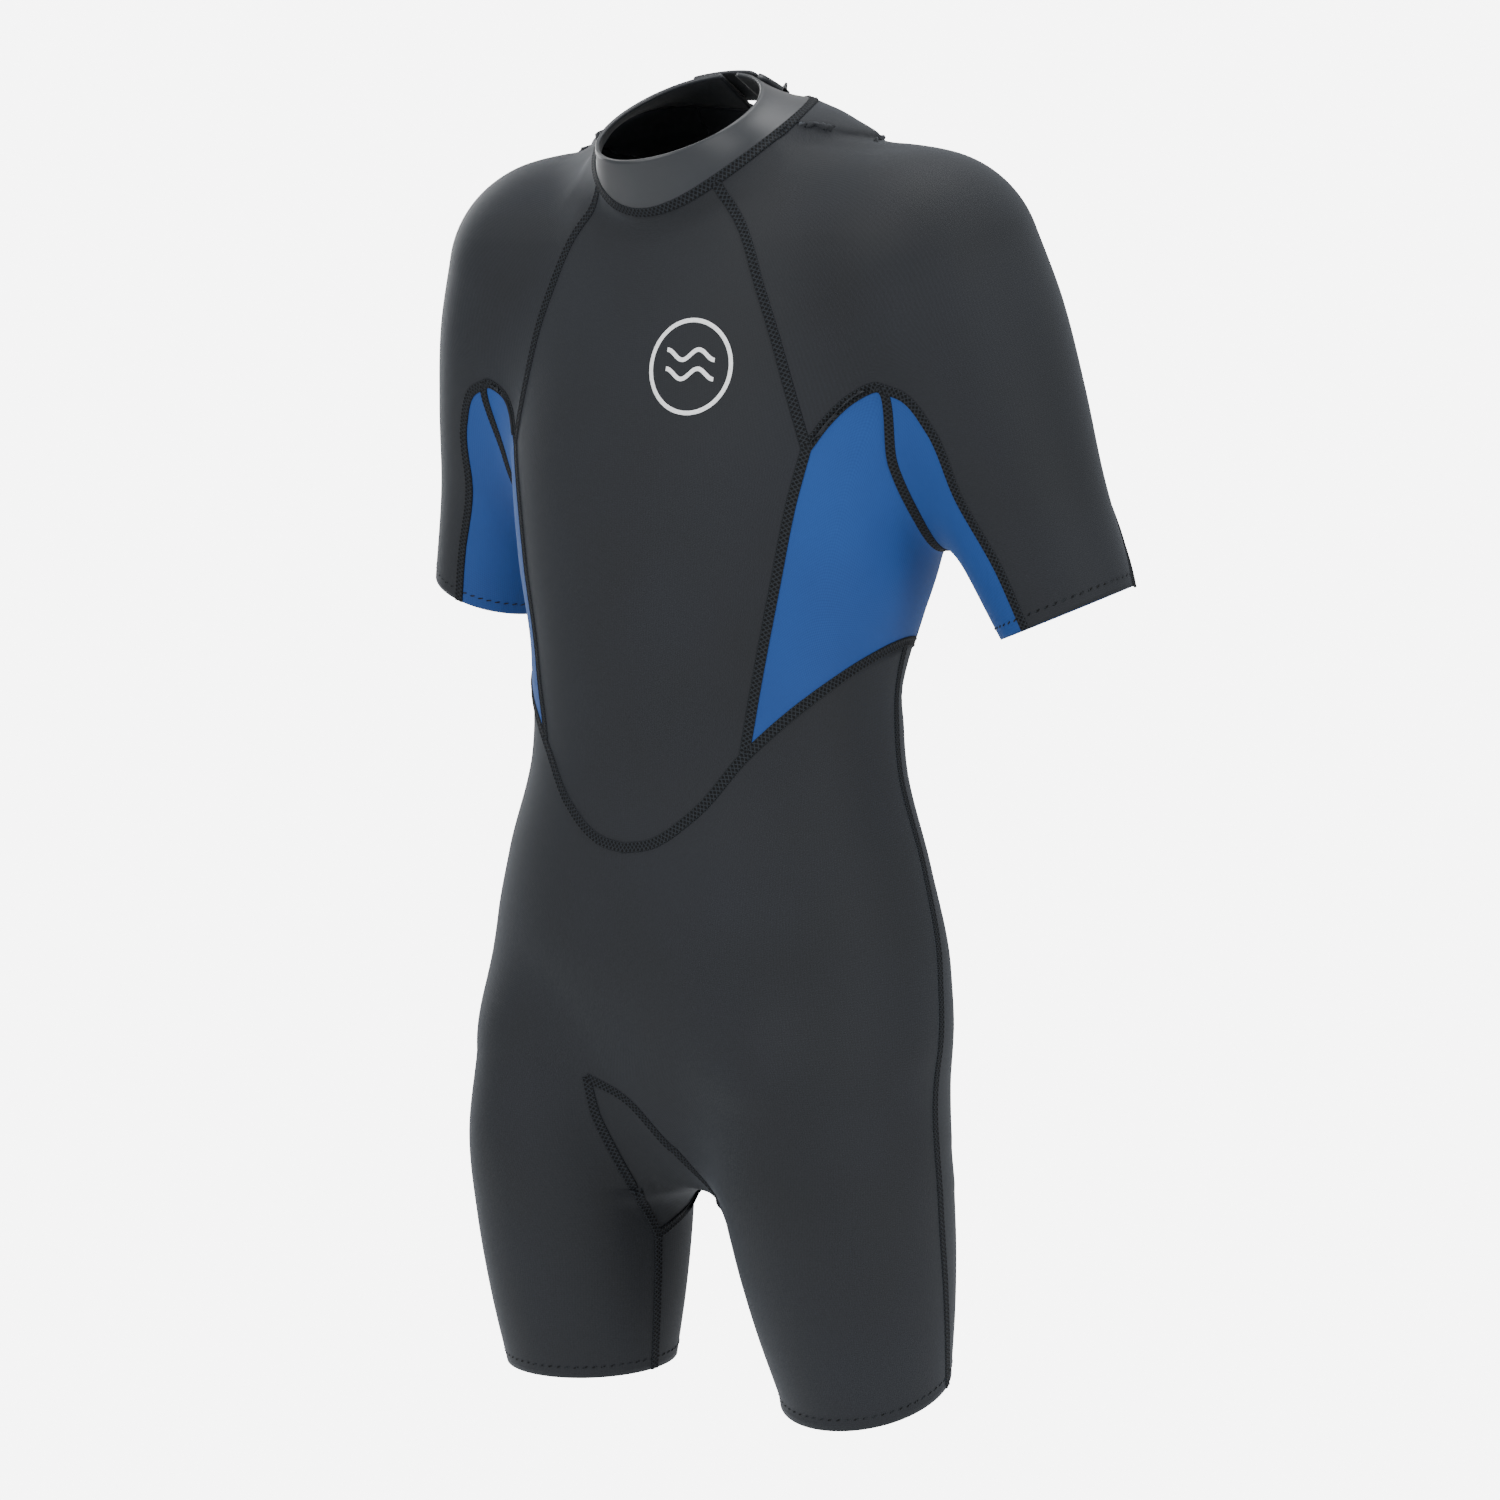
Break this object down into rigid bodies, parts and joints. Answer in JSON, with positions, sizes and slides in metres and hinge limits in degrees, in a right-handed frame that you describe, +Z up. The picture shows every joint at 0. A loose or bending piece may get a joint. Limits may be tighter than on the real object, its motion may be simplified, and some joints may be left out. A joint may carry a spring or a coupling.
{
  "type": "wetsuit",
  "caption": "Short-sleeved, short-legged wetsuit sewn from foam panels with flatlock seams, a round collar and a back zip, shaped as worn.",
  "frame": {"origin": "on the mid plane of the body, at the height of the leg hems, under the middle of the neck", "axes": "+Z up along the standing wearer, -Y the way the chest faces, +X the wearer's left"},
  "size_m": [0.5938, 0.2442, 0.935],
  "materials": {
    "charcoal_jersey": "matte",
    "blue_jersey": "matte",
    "smooth_lining": "satin",
    "seam_thread": "matte",
    "white_print": "matte",
    "zip_metal": "satin",
    "zip_plastic": "matte",
    "zip_tape": "matte",
    "hook_and_loop": "matte"
  },
  "bodies": {
    "suit": {"armhole_seam_left": "seam_thread", "armhole_seam_right": "seam_thread", "back_panel_left": "charcoal_jersey", "back_panel_right": "charcoal_jersey", "badge_ring": "white_print", "badge_wave_lower": "white_print", "badge_wave_upper": "white_print", "chest_panel": "charcoal_jersey", "collar": "smooth_lining", "collar_loop_patch": "hook_and_loop", "collar_seam": "seam_thread", "collar_tab_root": "smooth_lining", "crotch_gusset": "charcoal_jersey", "gusset_seam_left": "seam_thread", "gusset_seam_right": "seam_thread", "leg_hem_left": "charcoal_jersey", "leg_hem_right": "charcoal_jersey", "leg_inner_seam_left": "seam_thread", "leg_inner_seam_right": "seam_thread", "leg_outer_seam_left": "seam_thread", "leg_outer_seam_right": "seam_thread", "lower_front_panel": "charcoal_jersey", "raglan_back_seam_left": "seam_thread", "raglan_back_seam_right": "seam_thread", "raglan_front_seam_left": "seam_thread", "raglan_front_seam_right": "seam_thread", "seat_panel_left": "charcoal_jersey", "seat_panel_right": "charcoal_jersey", "seat_seam": "seam_thread", "side_back_seam_left": "seam_thread", "side_back_seam_right": "seam_thread", "side_front_seam_left": "seam_thread", "side_front_seam_right": "seam_thread", "side_panel_left": "blue_jersey", "side_panel_right": "blue_jersey", "sleeve_front_seam_left": "seam_thread", "sleeve_front_seam_right": "seam_thread", "sleeve_hem_left": "charcoal_jersey", "sleeve_hem_right": "charcoal_jersey", "sleeve_panel_left": "charcoal_jersey", "sleeve_panel_right": "charcoal_jersey", "sleeve_rear_seam_left": "seam_thread", "sleeve_rear_seam_right": "seam_thread", "underarm_panel_left": "blue_jersey", "underarm_panel_right": "blue_jersey", "waist_seam": "seam_thread", "zip_bottom_stop": "zip_plastic", "zip_flap": "charcoal_jersey", "zip_tape_left": "zip_tape", "zip_tape_right": "zip_tape", "zip_teeth_left": "zip_plastic", "zip_teeth_right": "zip_plastic", "zip_top_stop_left": "zip_plastic", "zip_top_stop_right": "zip_plastic"},
    "slider": {"zip_slider": "zip_metal"},
    "pull": {"zip_pull": "zip_metal"},
    "tab": {"collar_tab": "smooth_lining", "collar_hook_patch": "hook_and_loop"}
  },
  "joints": [
    {"name": "slider_along_zip", "type": "hinge", "parent": "suit", "child": "slider", "pos_m": [0, -0.258, 0.658], "axis": [-1, 0, 0], "range_deg": [0, 54]},
    {"name": "pull_swing", "type": "hinge", "parent": "slider", "child": "pull", "pos_m": [0, 0.07002, 0.87627], "axis": [1, 0, 0], "range_deg": [0, 150]},
    {"name": "collar_tab_peel", "type": "hinge", "parent": "suit", "child": "tab", "pos_m": [0.02, 0.0315, 0.9092], "axis": [0, 0.8877, -0.4604], "range_deg": [0, 120]}
  ]
}
